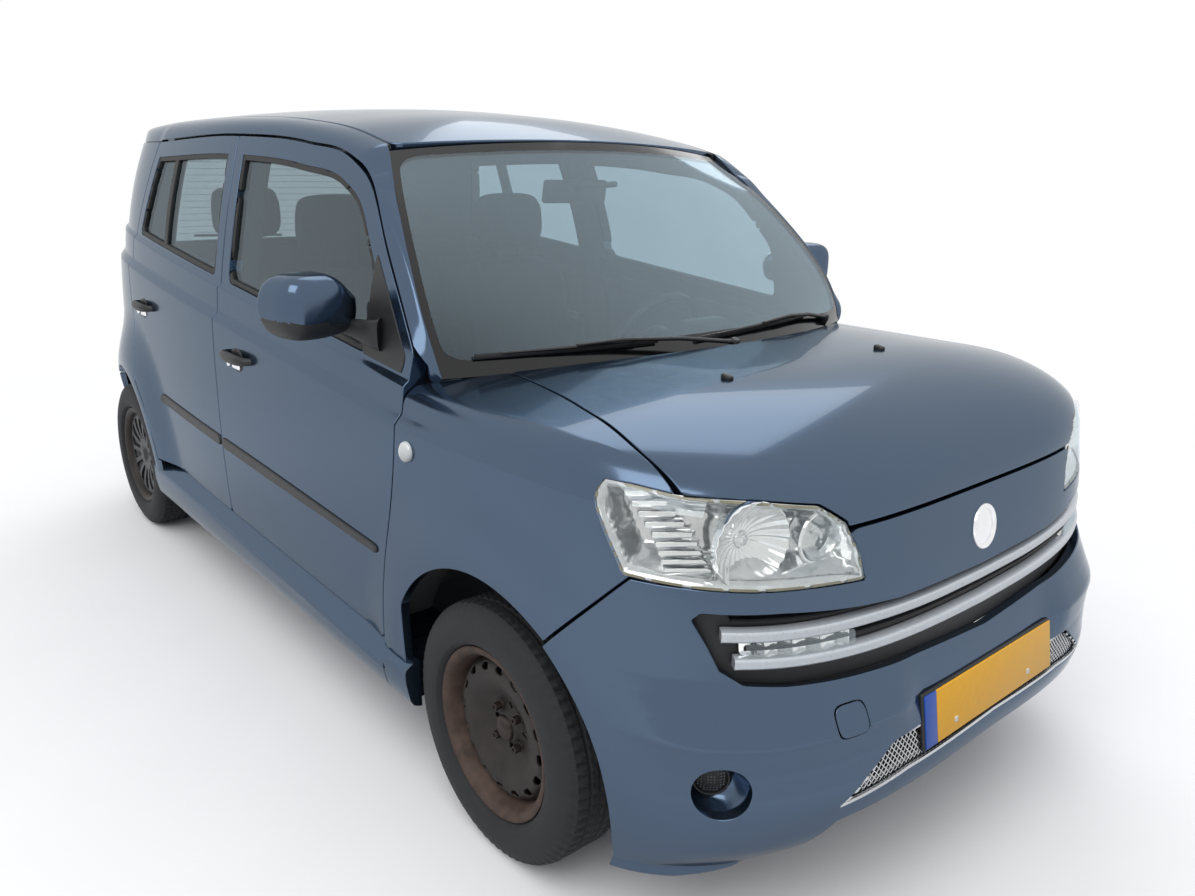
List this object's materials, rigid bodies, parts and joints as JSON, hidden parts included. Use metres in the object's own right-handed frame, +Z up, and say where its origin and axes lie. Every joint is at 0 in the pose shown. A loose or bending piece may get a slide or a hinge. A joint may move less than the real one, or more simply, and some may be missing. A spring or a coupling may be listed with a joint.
{
  "type": "compact minivan",
  "caption": "Compact blue-grey minivan with hinged doors, opening hood and tailgate, steered front wheels on bare steel rims and an open cabin with seats.",
  "frame": {"origin": "Middle of the footprint on the ground", "axes": "X forwards, Y to the left, Z up"},
  "size_m": [3.8, 1.9818, 1.636],
  "materials": {
    "paint": "metallic blue-grey lacquer",
    "glass": "clear, faint green",
    "trim": "grained black",
    "lamp": "clear, slightly yellowed",
    "lamp_red": "clear red",
    "floor_metal": "dark matt",
    "alloy": "as cast",
    "iron": "black paint",
    "steel": "dull, browned",
    "fabric": "black weave",
    "tyre": "worn rubber",
    "rim_steel": "black, rusted"
  },
  "bodies": {
    "body": {"floor_pan": "floor_metal", "body_side_left": "paint", "body_side_right": "paint", "roof_panel": "paint", "windscreen": "glass", "cowl_panel": "trim", "fenders": "paint", "front_bumper": "paint", "grille": "trim", "headlamps": "lamp", "rear_bumper": "paint", "tail_lamps": "lamp_red", "front_carrier": "floor_metal", "engine": "alloy", "front_subframe": "iron", "rear_axle": "iron", "exhaust": "steel", "fuel_tank": "trim", "dashboard": "trim", "front_seats": "fabric", "rear_seat": "fabric"},
    "hood_lid": {"hood": "paint"},
    "tail_lid": {"tailgate": "paint", "tailgate_glass": "glass"},
    "steering": {"steering_wheel": "trim"},
    "front_door_left": {"door_front_left": "paint", "glass_front_left": "glass", "mirror_left": "paint"},
    "front_door_right": {"door_front_right": "paint", "glass_front_right": "glass", "mirror_right": "paint"},
    "rear_door_left": {"door_rear_left": "paint", "glass_rear_left": "glass"},
    "rear_door_right": {"door_rear_right": "paint", "glass_rear_right": "glass"},
    "hub_left": {"knuckle_left": "iron"},
    "hub_right": {"knuckle_right": "iron"},
    "wheel_front_left": {"tyre_front_left": "tyre", "rim_front_left": "rim_steel"},
    "wheel_front_right": {"tyre_front_right": "tyre", "rim_front_right": "rim_steel"},
    "wheel_rear_left": {"tyre_rear_left": "tyre", "rim_rear_left": "rim_steel"},
    "wheel_rear_right": {"tyre_rear_right": "tyre", "rim_rear_right": "rim_steel"}
  },
  "joints": [
    {"name": "front_door_left_hinge", "type": "hinge", "parent": "body", "child": "front_door_left", "pos_m": [0.862, 0.842, 0.75], "axis": [0, 0, -1], "range_deg": [0, 68]},
    {"name": "rear_door_left_hinge", "type": "hinge", "parent": "body", "child": "rear_door_left", "pos_m": [-0.262, 0.842, 0.75], "axis": [0, 0, -1], "range_deg": [0, 68]},
    {"name": "front_door_right_hinge", "type": "hinge", "parent": "body", "child": "front_door_right", "pos_m": [0.862, -0.842, 0.75], "axis": [0, 0, 1], "range_deg": [0, 68]},
    {"name": "rear_door_right_hinge", "type": "hinge", "parent": "body", "child": "rear_door_right", "pos_m": [-0.262, -0.842, 0.75], "axis": [0, 0, 1], "range_deg": [0, 68]},
    {"name": "hood_hinge", "type": "hinge", "parent": "body", "child": "hood_lid", "pos_m": [0.95, 0, 1.05], "axis": [0, -1, 0], "range_deg": [0, 50]},
    {"name": "tailgate_hinge", "type": "hinge", "parent": "body", "child": "tail_lid", "pos_m": [-1.677, 0, 1.572], "axis": [0, 1, 0], "range_deg": [0, 80]},
    {"name": "steering_turn", "type": "hinge", "parent": "body", "child": "steering", "pos_m": [0.46, 0.35, 0.905], "axis": [-0.9063, 0, 0.4226], "range_deg": [-560, 560]},
    {"name": "steer_left", "type": "hinge", "parent": "body", "child": "hub_left", "pos_m": [1.2, 0.6625, 0.205], "axis": [0, -0.1736, 0.9848], "range_deg": [-35, 35]},
    {"name": "front_wheel_left_spin", "type": "hinge", "parent": "hub_left", "child": "wheel_front_left", "pos_m": [1.2, 0.7375, 0.2915], "axis": [0, 1, 0], "continuous": true},
    {"name": "rear_wheel_left_spin", "type": "hinge", "parent": "body", "child": "wheel_rear_left", "pos_m": [-1.34, 0.7375, 0.2915], "axis": [0, 1, 0], "continuous": true},
    {"name": "steer_right", "type": "hinge", "parent": "body", "child": "hub_right", "pos_m": [1.2, -0.6625, 0.205], "axis": [0, 0.1736, 0.9848], "range_deg": [-35, 35]},
    {"name": "front_wheel_right_spin", "type": "hinge", "parent": "hub_right", "child": "wheel_front_right", "pos_m": [1.2, -0.7375, 0.2915], "axis": [0, 1, 0], "continuous": true},
    {"name": "rear_wheel_right_spin", "type": "hinge", "parent": "body", "child": "wheel_rear_right", "pos_m": [-1.34, -0.7375, 0.2915], "axis": [0, 1, 0], "continuous": true}
  ],
  "couplings": [
    {"joint": "steer_left", "follows": "steering_turn", "ratio": 0.0625},
    {"joint": "steer_right", "follows": "steering_turn", "ratio": 0.0625}
  ]
}
